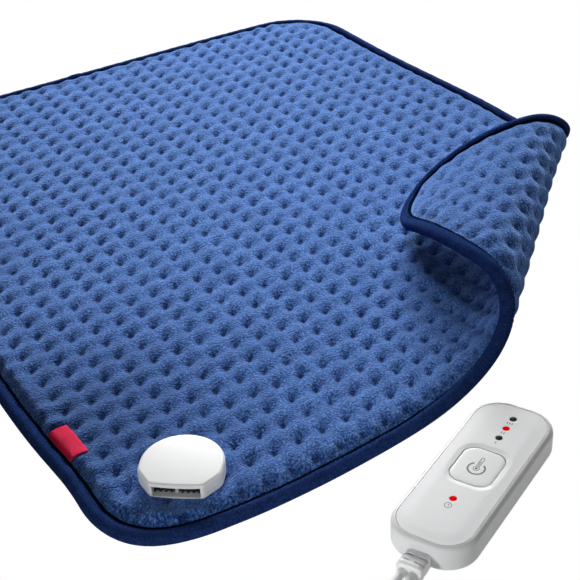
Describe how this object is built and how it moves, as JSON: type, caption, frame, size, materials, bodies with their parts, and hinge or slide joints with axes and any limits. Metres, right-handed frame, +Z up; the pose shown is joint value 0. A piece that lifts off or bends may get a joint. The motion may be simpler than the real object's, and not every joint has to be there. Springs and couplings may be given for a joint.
{
  "type": "heating pad with controller",
  "caption": "Quilted plush heating pad with a taped edge and a rolled corner, a socket housing on top, and a hand control with a push button, indicator lights and coiled cords",
  "frame": {"origin": "On the floor, under the middle of the box round the pad and the hand control", "axes": "+Z is up, +Y runs from the hand control to the back edge of the pad, +X runs to the right across the pad"},
  "size_m": [0.5754, 0.9061, 0.0599],
  "materials": {
    "plush_blue": "soft plush",
    "tape_navy": "woven tape",
    "felt_white": "felt",
    "wire_grey": "insulated wire",
    "label_red": "woven tab",
    "shell_white": "gloss moulding",
    "insert_grey": "matt moulding",
    "steel": "plain steel",
    "brass": "plain brass",
    "lens_red": "lit lens",
    "lens_dark": "dark lens",
    "board_green": "circuit board",
    "part_black": "moulded part",
    "part_yellow": "moulded part",
    "cord_white": "flexible sheath",
    "tie_black": "hook and loop strap"
  },
  "bodies": {
    "pad_and_handset": {"capacitor": "part_yellow", "circuit_board": "board_green", "connector_backing_plate": "steel", "connector_base": "shell_white", "connector_contact_1": "brass", "connector_contact_2": "brass", "connector_contact_3": "brass", "connector_contact_4": "brass", "connector_cover": "shell_white", "connector_insert": "insert_grey", "connector_lead_left": "wire_grey", "connector_lead_right": "wire_grey", "connector_rivet_left": "steel", "connector_rivet_right": "steel", "control_chip": "part_black", "fuse": "felt_white", "handset_face": "shell_white", "handset_screw_1": "steel", "handset_screw_2": "steel", "handset_screw_3": "steel", "handset_screw_4": "steel", "handset_tub": "shell_white", "heater_felt": "felt_white", "heating_wire": "wire_grey", "led_high": "lens_dark", "led_low": "lens_dark", "led_medium": "lens_red", "led_timer": "lens_red", "mains_blade_narrow": "brass", "mains_blade_wide": "brass", "mains_coil_tie": "tie_black", "mains_cord": "cord_white", "mains_cord_coil": "cord_white", "mains_cord_tail": "cord_white", "mains_leads": "cord_white", "mains_plug_body": "cord_white", "mains_plug_relief": "cord_white", "pad_bottom_cover": "plush_blue", "pad_coil_tie": "tie_black", "pad_cord": "cord_white", "pad_cord_coil": "cord_white", "pad_cord_tail": "cord_white", "pad_edge_binding": "tape_navy", "pad_leads": "cord_white", "pad_plug_body": "shell_white", "pad_plug_relief": "cord_white", "pad_top_cover": "plush_blue", "side_label": "label_red", "strain_relief": "cord_white", "switch_body": "part_black", "triac": "part_black"},
    "button": {"button_cap": "shell_white", "switch_plunger": "part_black"},
    "latch_left": {"pad_plug_latch_left": "shell_white"},
    "latch_right": {"pad_plug_latch_right": "shell_white"}
  },
  "joints": [
    {"name": "button_press", "type": "slide", "parent": "pad_and_handset", "child": "button", "axis": [0, 0, -1], "range_m": [0, 0.0005], "stiffness_N_per_m": 3000},
    {"name": "latch_left_squeeze", "type": "hinge", "parent": "pad_and_handset", "child": "latch_left", "pos_m": [-0.30541, -0.31222, 0.0055], "axis": [0, 0, -1], "range_deg": [0, 1.8], "stiffness_Nm_per_rad": 1.5},
    {"name": "latch_right_squeeze", "type": "hinge", "parent": "pad_and_handset", "child": "latch_right", "pos_m": [-0.28284, -0.30101, 0.0055], "axis": [0, 0, 1], "range_deg": [0, 1.8], "stiffness_Nm_per_rad": 1.5}
  ]
}
